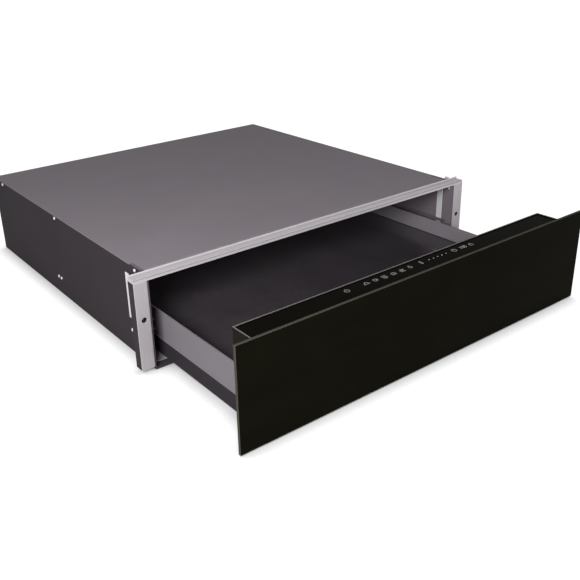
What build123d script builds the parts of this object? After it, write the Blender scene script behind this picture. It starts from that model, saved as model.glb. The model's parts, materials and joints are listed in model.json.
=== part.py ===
from build123d import *
import os

# Built-in warming drawer for a 60 cm niche, drawn with the drawer pulled part way out.
# Millimetres. X runs to the right seen from the front, Y to the back, Z up.
# The origin is on the underside of the housing, mid width, in the plane of the frame's front face.

os.makedirs("parts", exist_ok=True)

# Front frame and housing
frame_width = 595.0
frame_overlap = 19.5
housing_depth = 545.0
housing_height = 131.0
rear_bay = 61.0
casing_sheet = 1.0
folded_lip = 8.0
cover_lip = 12.0
fit = 0.1
frame_bottom = 4.5
frame_rise = 1.0
frame_sheet = 1.5
rail_height = 7.4
rail_depth = 14.0
rail_upstand = 2.8
rail_groove_drop = 3.4
rail_groove_height = 1.1
rail_groove_depth = 1.3
post_face = 1.2
post_return = 4.5
post_depth = 15.0
post_round = 2.2
cover_setback = 5.0
corner_width = 5.0
corner_end = 46.0
side_panel_front = 0.5
bend_radius = 0.5
niche_hole_radius = 3.8
niche_hole_height = 73.5
niche_hole_clearance = 1.0

# Centring springs in the side panels
spring_y = 27.0
spring_slot_width = 9.6
spring_slot_bottom = 60.0
spring_slot_top = 119.0
spring_width = 8.5
spring_leg_width = 10.4
spring_sheet = 0.8
spring_bow = 14.0
spring_ramp = 6.0
spring_foot = 7.0
spring_end_gap = 1.5
spring_top_drop = 1.5

# Drawer position and travel: distance of the glass face in front of the frame
drawer_opening = 213.0
shut_standoff = 10.0

# Drawer front
front_height = 133.0
front_bottom = 1.0
front_glass_thickness = 4.0
glass_edge = 0.6
carrier_thickness = 1.2
carrier_side_margin = 18.0
carrier_bottom_margin = 8.0
control_side_gap = 12.0
control_depth = 51.0
control_bottom = 3.0
control_top = 124.0
control_sheet = 1.2
control_glass_recess = 1.5
control_glass_thickness = 2.5
control_carrier_height = 9.0
touch_board_thickness = 1.6
board_gap = 0.5
carrier_floor = 2.0
touch_board_depth = 18.0
touch_board_margin = 10.0
control_row_depth = 39.0
power_key_x = -113.0
function_key_x = -82.0
function_key_pitch = 14.75
function_key_count = 6
level_key_x = 12.0
timer_key_x = 73.0
display_x = 89.0
display_width = 14.0
display_depth = 8.0
lock_key_x = 105.0
key_radius = 4.0
indicator_x = 26.5
indicator_radius = 1.2
indicator_pitch = 7.8
indicator_count = 5
buffer_radius = 5.0
buffer_inset = 10.0
buffer_end_inset = 18.0
buffer_gap = 0.3

# Drawer box
drawer_side_gap = 24.0
wall_sheet = 1.2
wall_top = 66.0
wall_bottom = 20.0
hem_height = 3.0
skirt_bottom = 3.0
skirt_top = 26.0
tray_level = 37.0
heater_thickness = 0.8
floor_glass_thickness = 4.0
floor_seal_width = 2.2
floor_seal_rise = 0.4
end_flange = 14.0
bead_rise = 1.4
end_bead_width = 2.6
end_bead_setback = 15.5
lower_bead_width = 1.2
runner_space = 16.0
pan_sheet = 0.8

# Ball runners, one each side inside the skirt
runner_front = 48.0
runner_rear_gap = 16.0
drawer_rail_setback = 10.0
runner_sheet = 1.2
middle_sheet = 1.0
fixed_rail_height = 27.0
fixed_rail_bottom = 5.0
ball_radius = 1.2
ball_clearance = 0.1
rail_depth_fixed = 7.6
rail_depth_middle = 6.8
rail_depth_drawer = 7.2
rail_gap = 1.2
cage_length = 120.0
ball_count = 8
cage_width = 4.0
cage_thickness = 0.8
cage_front_outer = 180.0
cage_front_inner = 195.0

# Runner brackets and guide channels
bracket_sheet = 1.5
bracket_length = 34.0
bracket_height = 40.0
front_bracket_start = 14.0
front_bracket_end = 70.0
foot_screw_inset = 12.0
foot_screw_setback = 6.0
foot_screw_length = 2.2
bracket_middle_y = 292.0
bracket_screw_setback = 8.0
bracket_rear_gap = 28.0
bracket_foot_sheet = 1.3
channel_front = 14.0
channel_rear_gap = 4.0
channel_bottom = 49.0
channel_top = 63.0
channel_flange = 10.0
channel_sheet = 1.0
glide_length = 28.0
glide_clearance = 1.2
glide_setback = 2.0
glide_round = 2.0

# Rear compartment
blower_latch_gap = 25.0
wheel_radius = 20.0
wheel_length = 150.0
wheel_disc = 2.0
wheel_setback = 31.0
wheel_height = 62.0
blade_count = 18
blade_depth = 5.0
blade_thickness = 1.0
blade_tilt = 25.0
blade_inset = 0.5
shaft_radius = 2.5
shaft_clearance = 0.1
blower_wall = 1.2
blower_end_gap = 6.0
blower_height = 100.0
blower_bottom = 36.0
blower_rear_gap = 2.0
blower_round = 8.0
blower_foot = 12.0
inlet_half = 12.0
outlet_bottom = 74.0
outlet_top = 94.0
return_bottom = 106.0
return_top = 116.0
grille_slot = 16.0
grille_pitch = 22.0
motor_length = 30.0
motor_half_side = 20.0
motor_round = 4.0
motor_end_wall = 3.0
motor_bore_radius = 12.0
rotor_radius = 11.6
board_side_gap = 112.0
board_width = 90.0
board_height = 78.0
board_bottom = 26.0
board_thickness = 1.6
standoff_length = 12.0
standoff_radius = 3.0
standoff_inset = 5.0
relay_margin = 14.0
relay_pitch = 32.0
relay_width = 20.0
relay_height = 24.0
relay_depth = 16.0
relay_bottom = 34.0
capacitor_radius = 9.0
capacitor_rise = 18.0
terminal_side_gap = 27.0
terminal_size = (36.0, 22.0, 20.0)
terminal_rear_gap = 12.0
terminal_well = 3.0
gland_side_gap = 45.0
gland_height = 60.0
gland_body_radius = 8.0
gland_bore_radius = 4.0
gland_flange_radius = 11.0
gland_flange = 3.0
gland_outside = 9.0
gland_inside = 12.0
gland_nut = 4.0
gland_round = 2.0
sensor_x = -45.0
sensor_height = 84.0
sensor_radius = 3.0
sensor_reach = 8.0
sensor_tail = 16.0
sensor_flange = 2.0
vent_lead = 15.0
vent_columns = 6
vent_rows = 3
vent_pitch = 21.0
vent_length = 15.0
vent_height = 3.0
vent_bottom = 84.0

# Push latch
latch_half_width = 12.0
latch_bottom = 44.0
latch_top = 62.0
latch_reach = 8.0
latch_tip_reach = 4.2
latch_length = 46.0
latch_round = 2.0
latch_ear = 8.0
latch_ear_sheet = 2.0
plunger_radius = 3.5
plunger_tip_radius = 6.0
plunger_tip_length = 3.0
plunger_push_room = 3.5
plunger_clearance = 0.3
plunger_length = 30.0
latch_touch_gap = 0.3
striker_thickness = 1.5
striker_half_width = 15.0

# Screws
side_screw_radius = 1.5
side_head_radius = 2.4
side_head_height = 1.6
front_screw_y = 32.0
middle_screw_y = 282.0
rear_screw_gap = 43.0
side_screw_drop = 3.0
frame_screw_y = 9.0
frame_screw_low = 18.0
frame_screw_drop = 7.0
front_bracket_screw_height = 34.0
middle_bracket_screw_height = 28.0
rivet_spacing = 10.0
casing_screw_length = 6.0
frame_screw_length = 5.0
drawer_screw_length = 5.0
rear_screw_inset = 77.0
rear_screw_margin = 5.0
rear_lip = 8.0

# Places worked out from the sizes above
half_housing = frame_width / 2 - frame_overlap
half_inside = half_housing - casing_sheet
half_frame = frame_width / 2
half_drawer = half_housing - drawer_side_gap
half_control = half_housing - control_side_gap
pan_half_width = half_drawer - runner_space
partition_y = housing_depth - rear_bay
runner_length = partition_y - runner_rear_gap - runner_front
bracket_rear_y = runner_front + runner_length - bracket_rear_gap
side_screw_ys = (front_screw_y, middle_screw_y, housing_depth - rear_screw_gap)
rear_screw_xs = (rear_screw_inset - half_inside, 0.0, half_inside - rear_screw_inset)
wheel_y = partition_y + wheel_setback
frame_top = housing_height + frame_rise
rail_bottom = frame_top - rail_height
rail_top = frame_top - rail_upstand
cover_front = rail_depth + cover_setback
cover_underside = housing_height - casing_sheet
side_screw_height = cover_underside - side_screw_drop
frame_screw_heights = (frame_screw_low, rail_bottom - frame_screw_drop)
rear_screw_heights = (rear_screw_margin, housing_height - rear_screw_margin)
front_y = -drawer_opening
glass_back_y = front_y + front_glass_thickness
carrier_back_y = glass_back_y + carrier_thickness
control_back_y = front_y + control_depth
plunger_tip = partition_y - latch_reach - latch_tip_reach
shut_rear_y = plunger_tip - latch_touch_gap - striker_thickness
rear_y = shut_rear_y - drawer_opening + shut_standoff
floor_top = tray_level + heater_thickness + floor_glass_thickness
tray_bottom = tray_level - wall_sheet
drawer_travel_shut = drawer_opening - shut_standoff
middle_offset = drawer_travel_shut / 2
outer_cage_offset = drawer_travel_shut / 4
inner_cage_offset = drawer_travel_shut * 3 / 4
blower_half = wheel_length / 2 + blower_end_gap
blower_x = latch_half_width + blower_latch_gap + blower_half
motor_x = blower_x + blower_half
gland_x = gland_side_gap - half_inside
board_x = board_side_gap - half_inside
control_row_y = front_y + control_row_depth
control_glass_bottom = control_top - control_glass_recess - control_glass_thickness
touch_board_bottom = control_glass_bottom - control_carrier_height + carrier_floor
ball_pitch = cage_length / ball_count
latch_axis = (latch_bottom + latch_top) / 2
latch_front = partition_y - latch_reach
plunger_end = plunger_tip + plunger_length


def block(x, y, z):
    """A box between two limits on each axis."""
    size = (x[1] - x[0], y[1] - y[0], z[1] - z[0])
    middle = ((x[0] + x[1]) / 2, (y[0] + y[1]) / 2, (z[0] + z[1]) / 2)
    return Pos(*middle) * Box(*size)


def rod(radius, start, end):
    """A round bar between two points."""
    span = Vector(*end) - Vector(*start)
    plane = Plane(origin=start, z_dir=span)
    return plane.location * Cylinder(radius, span.length, align=(Align.CENTER, Align.CENTER, Align.MIN))


def along_x(radius, x, y, z):
    """A round bar along X between two limits."""
    return rod(radius, (x[0], y, z), (x[1], y, z))


def along_y(radius, x, y, z):
    """A round bar along Y between two limits."""
    return rod(radius, (x, y[0], z), (x, y[1], z))


def screw(seat, direction, shank_length, head_radius=side_head_radius, shank_radius=side_screw_radius):
    """A domed cross-recessed screw: its head stands on the seat, its shank runs along direction."""
    outward = Vector(*direction) * -1
    place = Plane(origin=seat, z_dir=outward).location
    head = Cylinder(head_radius, side_head_height, align=(Align.CENTER, Align.CENTER, Align.MIN))
    head = fillet(head.edges().group_by(Axis.Z)[-1], side_head_height * 0.6)
    recess = Pos(0, 0, side_head_height) * (Box(head_radius, 0.7, 1.4) + Box(0.7, head_radius, 1.4))
    shank = Pos(0, 0, -shank_length) * Cylinder(
        shank_radius, shank_length, align=(Align.CENTER, Align.CENTER, Align.MIN)
    )
    return place * (head - recess + shank)


def write(name, *solids):
    """Write one node; several solids make a group."""
    shape = solids[0] if len(solids) == 1 else Compound(children=list(solids))
    export_step(shape, "parts/" + name + ".step")


def mirrored(solid):
    return mirror(solid, about=Plane.YZ)


def write_pair(name, *solids):
    """Write a right-hand node and its left-hand mirror image."""
    write("right_" + name, *solids)
    write("left_" + name, *[mirrored(solid) for solid in solids])


# Runner cross-section, from the drawer outwards: drawer member, middle member, fixed member
ball_space = 2 * (ball_radius + ball_clearance)
drawer_rail_x = pan_half_width
middle_rail_x = drawer_rail_x + rail_depth_drawer + rail_gap + middle_sheet
fixed_rail_x = middle_rail_x + rail_gap + runner_sheet
fixed_rail_top = fixed_rail_bottom + fixed_rail_height
middle_rail_bottom = fixed_rail_bottom + runner_sheet + ball_space
middle_rail_top = fixed_rail_top - runner_sheet - ball_space
drawer_rail_bottom = middle_rail_bottom + middle_sheet + ball_space
drawer_rail_top = middle_rail_top - middle_sheet - ball_space


def bracket_spans():
    """Front, middle and rear bracket of one runner, as limits along Y."""
    half = bracket_length / 2
    return (
        (front_bracket_start, front_bracket_end),
        (bracket_middle_y - half, bracket_middle_y + half),
        (bracket_rear_y - half, bracket_rear_y + half),
    )


def bracket_screws():
    """Y and Z of the screw and rivets that hold a runner's front and middle brackets to the side panel."""
    near = rivet_spacing / 2
    return (
        (runner_front + bracket_screw_setback, front_bracket_screw_height),
        (bracket_middle_y - near, middle_bracket_screw_height),
        (bracket_middle_y + near, middle_bracket_screw_height),
    )


def foot_screw_places():
    """X and Y of the screw in each foot of the right-hand runner's brackets, behind the shut front housing."""
    return [(half_inside - foot_screw_inset, span[1] - foot_screw_setback) for span in bracket_spans()]


def foot_hole(x, y):
    """A clearance hole for a foot screw, through the foot and the base."""
    return rod(side_screw_radius + fit, (x, y, -1), (x, y, casing_sheet + bracket_foot_sheet + 1))


def side_screw_places():
    """Y and Z of every screw in one side panel."""
    return [(y, side_screw_height) for y in side_screw_ys] + list(bracket_screws())


def cross_hole(x, y, z):
    """A clearance hole for a screw along X between two limits."""
    return along_x(side_screw_radius + fit, x, y, z)


def side_panel():
    """One side of the housing, with its top folded over as a narrow corner beside the front of the cover."""
    panel = block((half_inside, half_housing), (side_panel_front, housing_depth), (0, cover_underside))
    panel -= block(
        (half_inside - 1, half_housing + 1), (side_panel_front - 1, cover_front), (rail_bottom, cover_underside + 1)
    )
    panel += block(
        (half_housing - corner_width, half_housing), (cover_front, corner_end), (cover_underside, housing_height)
    )
    half_slot = spring_slot_width / 2
    panel -= block(
        (half_inside - 1, half_housing + 3),
        (spring_y - half_slot, spring_y + half_slot),
        (spring_slot_bottom, spring_slot_top),
    )
    across = (half_inside - 1, half_housing + 3)
    for z in frame_screw_heights:
        panel -= cross_hole(across, frame_screw_y, z)
    for y, z in side_screw_places():
        panel -= cross_hole(across, y, z)
    return panel


def rear_holes(y):
    """Cutters along Y for the rear panel's screws, between two limits."""
    return [along_y(side_screw_radius + fit, x, y, z) for x in rear_screw_xs for z in rear_screw_heights]


def base_pan():
    rear = housing_depth - casing_sheet
    pan = block((-half_inside, half_inside), (0, rear), (0, casing_sheet))
    pan += block((-half_inside, half_inside), (0, casing_sheet), (0, skirt_bottom - 0.5))
    pan += block((-half_inside, half_inside), (rear - casing_sheet, rear), (0, rear_lip))
    for cutter in rear_holes((rear - 2, rear + 2)):
        pan -= cutter
    for x, y in foot_screw_places():
        pan -= foot_hole(x, y)
        pan -= foot_hole(-x, y)
    return pan


def top_cover():
    """Cover with folded side, rear and front lips, cut back where the side panels' corners fold over."""
    cover = block(
        (-half_housing, half_housing), (cover_front, housing_depth), (cover_underside, housing_height)
    )
    corner_lip = half_housing - corner_width - fit
    for side in (-1, 1):
        corner = sorted((side * corner_lip, side * (half_housing + 1)))
        cover -= block(corner, (cover_front - 1, corner_end + fit), (cover_underside - 1, housing_height + 1))
    cover = fillet(cover.edges().filter_by(Axis.Z).group_by(Axis.Y)[-1], bend_radius)
    lip_bottom = housing_height - cover_lip
    half_tab = folded_lip / 2 + 1
    rear = housing_depth - casing_sheet
    for side in (-1, 1):
        front_tab = sorted((side * corner_lip, side * (corner_lip - casing_sheet)))
        cover += block(
            front_tab, (front_screw_y - half_tab, front_screw_y + half_tab), (lip_bottom, cover_underside)
        )
        x = sorted((side * half_inside, side * (half_inside - casing_sheet)))
        cover += block(x, (corner_end + fit, rear - rear_lip), (lip_bottom, cover_underside))
        for y in side_screw_ys:
            cover -= cross_hole(sorted((side * (corner_lip - 2), side * half_housing)), y, side_screw_height)
    half_front = corner_lip - casing_sheet
    front = (cover_front, cover_front + casing_sheet)
    cover += block((-half_front, half_front), front, (rail_bottom, cover_underside))
    cover += block((-half_front, half_front), (rail_depth, front[1]), (rail_bottom, rail_bottom + casing_sheet))
    half_lip = half_inside - rear_lip
    cover += block(
        (-half_lip, half_lip), (rear - casing_sheet, rear), (cover_underside - rear_lip, cover_underside)
    )
    for cutter in rear_holes((rear - 2, rear + 0.5)):
        cover -= cutter
    return cover


def rear_panel():
    y = (housing_depth - casing_sheet, housing_depth)
    panel = block((-half_inside, half_inside), y, (0, cover_underside))
    for column in range(vent_columns):
        x = board_x - vent_lead + column * vent_pitch
        for row in range(vent_rows):
            z = vent_bottom + row * 2.5 * vent_height
            panel -= block((x, x + vent_length), (y[0] - 2, y[1] + 2), (z, z + vent_height))
    panel -= along_y(gland_body_radius + fit, gland_x, (y[0] - 1, y[1] + 1), gland_height)
    for cutter in rear_holes((y[0] - 1, y[1] + 1)):
        panel -= cutter
    return panel


def frame_top_rail():
    """Rail of the frame: grooved front face, flat top, upstand along its back, closed ends."""
    x = (-half_frame, half_frame)
    rail = block(x, (0, rail_depth), (rail_bottom, rail_top))
    rail = fillet(rail.edges().filter_by(Axis.X).group_by(Axis.Z)[-1].sort_by(Axis.Y)[0], bend_radius)
    rail += block(x, (rail_depth - frame_sheet, rail_depth), (rail_bottom, frame_top))
    rail = fillet(rail.edges().filter_by(Axis.X).group_by(Axis.Z)[-1], bend_radius)
    groove_bottom = rail_bottom + rail_groove_drop
    rail -= block(shrunk(x, -1), (-1, rail_groove_depth), (groove_bottom, groove_bottom + rail_groove_height))
    wall = rail_groove_depth + frame_sheet
    hollow = block(
        shrunk(x, frame_sheet), (wall, rail_depth - frame_sheet), (rail_bottom - 1, rail_top - frame_sheet)
    )
    return rail - hollow


def niche_hole(radius):
    """Cutter for the screw that fixes one side of the frame to the niche."""
    return along_y(radius, (half_housing + half_frame) / 2, (-1, post_depth), niche_hole_height)


def post_hollow():
    """Cutter behind the post's bright face and beside its folded return."""
    return block(
        (half_housing + post_face, half_frame + 1), (post_face, post_depth + 1), (frame_bottom - 1, rail_bottom + 1)
    )


def frame_post():
    """The bright face of one side of the frame, with a rounded fold and a short return on its inner side."""
    post = block((half_housing, half_frame), (0, post_return), (frame_bottom, rail_bottom))
    post = fillet(post.edges().filter_by(Axis.Z).group_by(Axis.Y)[0].sort_by(Axis.X)[0], post_round)
    return post - post_hollow() - niche_hole(niche_hole_radius)


def post_channel():
    """Dark channel behind the face: outer flange, web, and inner flange against the side panel."""
    inner = half_housing + post_face
    channel = block((half_housing, inner), (post_return, post_depth), (frame_bottom, rail_bottom))
    channel += block((inner, half_frame), (post_face, post_depth), (frame_bottom, rail_bottom))
    channel -= block(
        (inner + frame_sheet, half_frame - frame_sheet),
        (post_face + frame_sheet, post_depth + 1),
        (frame_bottom - 1, rail_bottom + 1),
    )
    for z in frame_screw_heights:
        channel -= cross_hole((half_housing - 1, inner + frame_sheet + 1), frame_screw_y, z)
    return channel - niche_hole(niche_hole_radius + niche_hole_clearance)


def centring_spring():
    """A leaf folded out through the side panel's slot: its leg closes the slot inside, its top is free."""
    inner = half_inside - spring_sheet
    low = spring_slot_bottom + spring_end_gap
    high = housing_height - spring_top_drop
    crown = half_housing + spring_bow
    outline = [
        (half_inside, low),
        (crown, low + spring_ramp),
        (crown, high),
        (crown - spring_sheet, high),
        (crown - spring_sheet, low + spring_ramp + spring_sheet),
        (inner, low),
    ]
    face = Plane.XZ.offset(-(spring_y + spring_width / 2)) * make_face(Polyline(outline, close=True))
    spring = extrude(face, amount=spring_width)
    y = (spring_y - spring_leg_width / 2, spring_y + spring_leg_width / 2)
    return spring + block((inner, half_inside), y, (spring_slot_bottom - spring_foot, spring_slot_top - fit))


def runner_brackets():
    """Three brackets that carry the fixed rail: a side leg, a foot on the base and a riser."""
    brackets = []
    for span, (foot_x, foot_y) in zip(bracket_spans(), foot_screw_places()):
        bracket = block((half_inside - bracket_sheet, half_inside), span, (casing_sheet, bracket_height))
        bracket += block((fixed_rail_x, half_inside), span, (casing_sheet, casing_sheet + bracket_foot_sheet))
        bracket += block(
            (fixed_rail_x, fixed_rail_x + bracket_sheet),
            (max(span[0], runner_front), span[1]),
            (casing_sheet, fixed_rail_top),
        )
        for y, z in bracket_screws():
            if span[0] < y < span[1]:
                bracket -= cross_hole((half_inside - bracket_sheet - 1, half_inside + 1), y, z)
        brackets.append(bracket - foot_hole(foot_x, foot_y))
    return brackets


def c_rail(web_x, depth, bottom, top, sheet, y):
    """A C-section rail. Positive depth: its web is at web_x and its flanges reach outwards."""
    x = (min(web_x, web_x + depth), max(web_x, web_x + depth))
    rail = block(x, y, (bottom, top))
    hollow = (web_x + sheet, web_x + depth + 1) if depth > 0 else (web_x + depth - 1, web_x - sheet)
    return rail - block(hollow, (y[0] - 1, y[1] + 1), (bottom + sheet, top - sheet))


def fixed_rail():
    y = (runner_front, runner_front + runner_length)
    return c_rail(fixed_rail_x, -rail_depth_fixed, fixed_rail_bottom, fixed_rail_top, runner_sheet, y)


def middle_rail():
    start = runner_front - middle_offset
    y = (start, start + runner_length)
    return c_rail(middle_rail_x, -rail_depth_middle, middle_rail_bottom, middle_rail_top, middle_sheet, y)


def drawer_rail():
    y = (control_back_y, control_back_y + runner_length - drawer_rail_setback)
    return c_rail(drawer_rail_x, rail_depth_drawer, drawer_rail_bottom, drawer_rail_top, runner_sheet, y)


def ball_cage(x, z, front):
    """A retainer strip with its row of balls."""
    half = cage_width / 2
    half_sheet = cage_thickness / 2
    cage = block((x - half, x + half), (front, front + cage_length), (z - half_sheet, z + half_sheet))
    for index in range(ball_count):
        cage += Pos(x, front + ball_pitch * (index + 0.5), z) * Sphere(ball_radius)
    return cage


def cage_set(x, heights, front):
    """Lower and upper cages of both runners."""
    cages = [ball_cage(x, z, front) for z in heights]
    return cages + [mirrored(cage) for cage in cages]


def outer_ball_cages():
    x = (fixed_rail_x - rail_depth_fixed + middle_rail_x) / 2
    lower = (fixed_rail_bottom + runner_sheet + middle_rail_bottom) / 2
    upper = (fixed_rail_top - runner_sheet + middle_rail_top) / 2
    return cage_set(x, (lower, upper), cage_front_outer - outer_cage_offset)


def inner_ball_cages():
    x = (middle_rail_x - rail_depth_middle + drawer_rail_x + rail_depth_drawer) / 2
    lower = (middle_rail_bottom + middle_sheet + drawer_rail_bottom) / 2
    upper = (middle_rail_top - middle_sheet + drawer_rail_top) / 2
    return cage_set(x, (lower, upper), cage_front_inner - inner_cage_offset)


def guide_channel():
    """The ledge along the side panel, cleared where the spring's lower foot lies behind it."""
    inner = half_inside - channel_flange
    web = half_inside - channel_sheet
    y = (channel_front, partition_y - channel_rear_gap)
    channel = block((inner, half_inside), y, (channel_bottom, channel_top))
    channel -= block(
        (inner - 1, web),
        shrunk(y, -1),
        (channel_bottom + channel_sheet, channel_top - channel_sheet),
    )
    half_window = spring_leg_width / 2 + 1
    channel -= block(
        (web, half_inside + 1),
        (spring_y - half_window, spring_y + half_window),
        (spring_slot_bottom - spring_foot - 2, channel_top + 1),
    )
    return channel


def drawer_wall():
    """Side wall: folded rim along the top, flange across the front, beads near its front and lower edges."""
    inner = half_drawer - wall_sheet
    wall = block((inner, half_drawer), (control_back_y, rear_y), (wall_bottom, wall_top))
    wall += block(
        (inner - wall_sheet, inner), (control_back_y, rear_y - wall_sheet), (wall_top - hem_height, wall_top)
    )
    wall += block(
        (half_drawer - end_flange, inner),
        (control_back_y, control_back_y + wall_sheet),
        (floor_top + 1, wall_top - hem_height),
    )
    bead = (half_drawer, half_drawer + bead_rise)
    end_bead = control_back_y + end_bead_setback
    wall += block(bead, (end_bead, end_bead + end_bead_width), (skirt_top, wall_top))
    wall += block(bead, (control_back_y, rear_y), (skirt_top, skirt_top + lower_bead_width))
    return wall - drawer_screw_hole(1)


def drawer_screw_seat(side):
    """Centre of the screw that holds one side wall to the front housing."""
    x = half_drawer - wall_sheet - end_flange / 2
    z = (floor_top + wall_top - hem_height) / 2
    return (side * x, control_back_y + wall_sheet, z)


def drawer_screw_hole(side):
    x, y, z = drawer_screw_seat(side)
    return along_y(side_screw_radius + fit, x, (y - 2 * wall_sheet - 1, y + 1), z)


def drawer_skirt():
    return block((half_drawer, half_drawer + wall_sheet), (control_back_y, rear_y), (skirt_bottom, skirt_top))


def drawer_rear_wall():
    inside = half_drawer - wall_sheet
    y = (rear_y - wall_sheet, rear_y)
    wall = block((-inside, inside), y, (tray_level, wall_top))
    wall += block((-pan_half_width, pan_half_width), y, (wall_bottom, tray_level))
    return wall


def shrunk(limits, by):
    """Limits moved inwards by a margin at both ends."""
    return (limits[0] + by, limits[1] - by)


def floor_limits():
    """X and Y limits of the floor between the walls, the front housing and the rear wall."""
    inside = half_drawer - wall_sheet
    return (-inside, inside), (control_back_y, rear_y - wall_sheet)


def floor_tray():
    x, y = floor_limits()
    return block(x, y, (tray_bottom, tray_level))


def floor_heater():
    x, y = floor_limits()
    inset = floor_seal_width + 0.5
    return block(shrunk(x, inset), shrunk(y, inset), (tray_level, tray_level + heater_thickness))


def floor_glass():
    x, y = floor_limits()
    pane = block(
        shrunk(x, floor_seal_width), shrunk(y, floor_seal_width), (tray_level + heater_thickness, floor_top)
    )
    return chamfer(pane.edges().group_by(Axis.Z)[-1], glass_edge)


def floor_seal():
    x, y = floor_limits()
    ring = block(x, y, (tray_level, floor_top + floor_seal_rise))
    return ring - block(
        shrunk(x, floor_seal_width), shrunk(y, floor_seal_width), (tray_level - 1, floor_top + 1)
    )


def pan_limits():
    return (-pan_half_width, pan_half_width), (control_back_y, rear_y - wall_sheet)


def under_pan():
    x, y = pan_limits()
    hollow = block(shrunk(x, pan_sheet), shrunk(y, pan_sheet), (skirt_bottom + pan_sheet, tray_bottom + 1))
    return block(x, y, (skirt_bottom, tray_bottom)) - hollow


def insulation_pad():
    x, y = pan_limits()
    return block(shrunk(x, pan_sheet), shrunk(y, pan_sheet), (skirt_bottom + pan_sheet, tray_bottom))


def front_glass():
    pane = block((-half_frame, half_frame), (front_y, glass_back_y), (front_bottom, front_bottom + front_height))
    return chamfer(pane.edges(), glass_edge)


def front_carrier():
    """Steel plate bonded to the back of the glass; the front housing is fixed to it."""
    half = half_frame - carrier_side_margin
    bottom = front_bottom + carrier_bottom_margin
    return block((-half, half), (glass_back_y, carrier_back_y), (bottom, control_glass_bottom))


def control_housing():
    x = (-half_control, half_control)
    y = (carrier_back_y, control_back_y)
    shell = block(x, y, (control_bottom, control_top))
    shell = fillet(shell.edges().filter_by(Axis.Z).group_by(Axis.Y)[-1], bend_radius)
    shell -= block(
        shrunk(x, control_sheet),
        (y[0] - 1, y[1] - control_sheet),
        (control_bottom + control_sheet, control_top + 1),
    )
    return shell - drawer_screw_hole(1) - drawer_screw_hole(-1)


def control_pocket(front):
    """X and Y limits inside the front housing's rim, from a given front limit."""
    inside = half_control - control_sheet - fit
    return (-inside, inside), (front, control_back_y - control_sheet - fit)


def control_glass():
    x, y = control_pocket(glass_back_y + fit)
    return block(x, y, (control_glass_bottom, control_glass_bottom + control_glass_thickness))


def touch_board_limits():
    half = touch_board_depth / 2
    x = (power_key_x - touch_board_margin, lock_key_x + touch_board_margin)
    return x, (control_row_y - half, control_row_y + half)


def control_carrier():
    """Moulded tray under the control glass, with a pocket for the touch board."""
    x, y = control_pocket(carrier_back_y)
    tray = block(x, y, (control_glass_bottom - control_carrier_height, control_glass_bottom))
    board_x_limits, board_y_limits = touch_board_limits()
    return tray - block(
        shrunk(board_x_limits, -board_gap),
        shrunk(board_y_limits, -board_gap),
        (touch_board_bottom, control_glass_bottom + 1),
    )


def touch_board():
    """Board with one touch pad under each key and the row of indicator lamps."""
    x, y = touch_board_limits()
    board = block(x, y, (touch_board_bottom, touch_board_bottom + touch_board_thickness))
    reach = control_glass_bottom - fit
    lamps = [indicator_x + index * indicator_pitch for index in range(indicator_count)]
    for radius, places in ((key_radius, key_places()), (indicator_radius, lamps)):
        for place in places:
            board += rod(radius, (place, control_row_y, touch_board_bottom), (place, control_row_y, reach))
    half_display = display_width / 2
    board += block(
        (display_x - half_display, display_x + half_display),
        (control_row_y - display_depth / 2, control_row_y + display_depth / 2),
        (touch_board_bottom, reach),
    )
    return board


def key_places():
    functions = [function_key_x + index * function_key_pitch for index in range(function_key_count)]
    return [power_key_x] + functions + [level_key_x, timer_key_x, lock_key_x]


def front_buffers():
    """Rubber buffers behind the glass that meet the frame's posts when the drawer is shut."""
    length = shut_standoff - front_glass_thickness - buffer_gap
    heights = shrunk((front_bottom, front_bottom + front_height), buffer_end_inset)
    buffers = []
    for side in (-1, 1):
        x = side * (half_frame - buffer_inset)
        for z in heights:
            pad = along_y(buffer_radius, x, (glass_back_y, glass_back_y + length), z)
            buffers.append(fillet(pad.edges().group_by(Axis.Y)[-1], 1.0))
    return buffers


def drawer_screws():
    return [screw(drawer_screw_seat(side), (0, -1, 0), drawer_screw_length) for side in (-1, 1)]


def rear_glides():
    """Nylon blocks at the back of the side walls that run in the guide channels."""
    inset = channel_sheet + glide_clearance
    glide = block(
        (half_drawer, half_inside - inset),
        (rear_y - glide_setback - glide_length, rear_y - glide_setback),
        (channel_bottom + inset, channel_top - inset),
    )
    glide = fillet(glide.edges().filter_by(Axis.X), glide_round)
    return glide, mirrored(glide)


def latch_striker():
    return block(
        (-striker_half_width, striker_half_width),
        (rear_y, rear_y + striker_thickness),
        (latch_bottom, latch_top),
    )


def latch_body():
    """Push latch through the partition, bored for its plunger and counterbored for the tip."""
    x = (-latch_half_width, latch_half_width)
    z = (latch_bottom, latch_top)
    body = block(x, (latch_front, latch_front + latch_length), z)
    body = fillet(body.edges().filter_by(Axis.Y), latch_round)
    body += block(shrunk(x, -latch_ear), (partition_y - latch_ear_sheet, partition_y), z)
    mouth = latch_front - 1
    shoulder = plunger_tip + plunger_tip_length
    body -= along_y(plunger_radius + plunger_clearance, 0, (mouth, plunger_end + plunger_push_room), latch_axis)
    return body - along_y(
        plunger_tip_radius + plunger_clearance, 0, (mouth, shoulder + plunger_push_room), latch_axis
    )


def latch_plunger():
    shoulder = plunger_tip + plunger_tip_length
    tip = along_y(plunger_tip_radius, 0, (plunger_tip, shoulder), latch_axis)
    tip = fillet(tip.edges().group_by(Axis.Y)[0], 1.0)
    return tip + along_y(plunger_radius, 0, (shoulder, plunger_end), latch_axis)


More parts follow.
